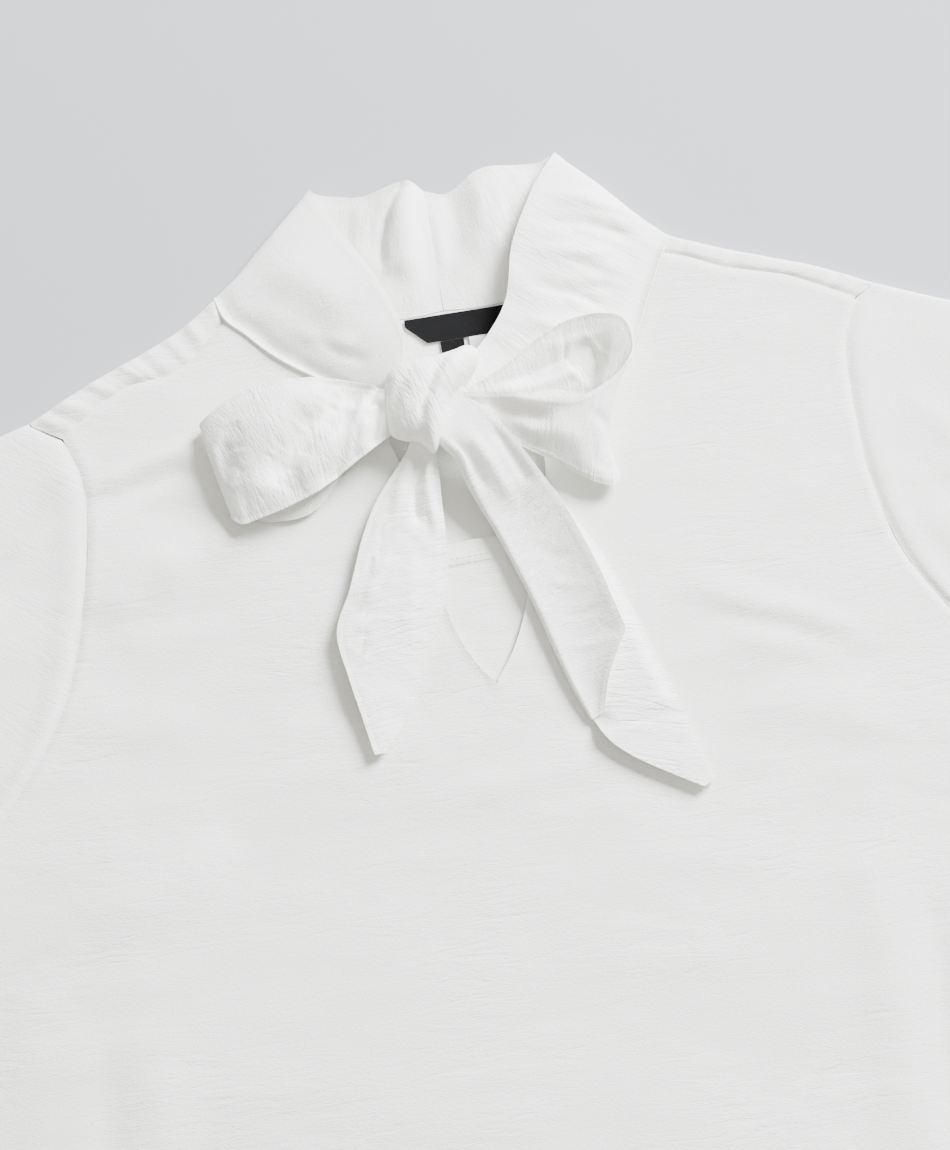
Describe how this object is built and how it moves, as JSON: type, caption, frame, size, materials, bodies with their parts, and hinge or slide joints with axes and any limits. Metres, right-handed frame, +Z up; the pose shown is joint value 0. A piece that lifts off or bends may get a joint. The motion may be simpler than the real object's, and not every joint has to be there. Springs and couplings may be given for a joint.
{
  "type": "tie neck blouse",
  "caption": "White crinkle crepe blouse laid flat, front up, with a band collar tied in a soft bow over a short neck slit, and long sleeves.",
  "frame": {"origin": "middle of the laid garment's box, on the surface that it lies on", "axes": "+X across the shoulders to the right as seen from above, +Y towards the collar, +Z up from the surface"},
  "size_m": [1.233, 0.6894, 0.028],
  "materials": {
    "crepe": "matt crinkled crepe",
    "label_satin": "woven satin",
    "care_tape": "printed tape, bare"
  },
  "bodies": {
    "root": {"back": "crepe", "front": "crepe", "modesty_panel": "crepe", "sleeve_left": "crepe", "sleeve_right": "crepe", "collar_left": "crepe", "collar_right": "crepe", "loop_left": "crepe", "loop_right": "crepe", "tail_left": "crepe", "tail_right": "crepe", "knot": "crepe", "neck_label": "label_satin", "size_tab": "label_satin", "care_tab": "care_tape"}
  },
  "joints": []
}
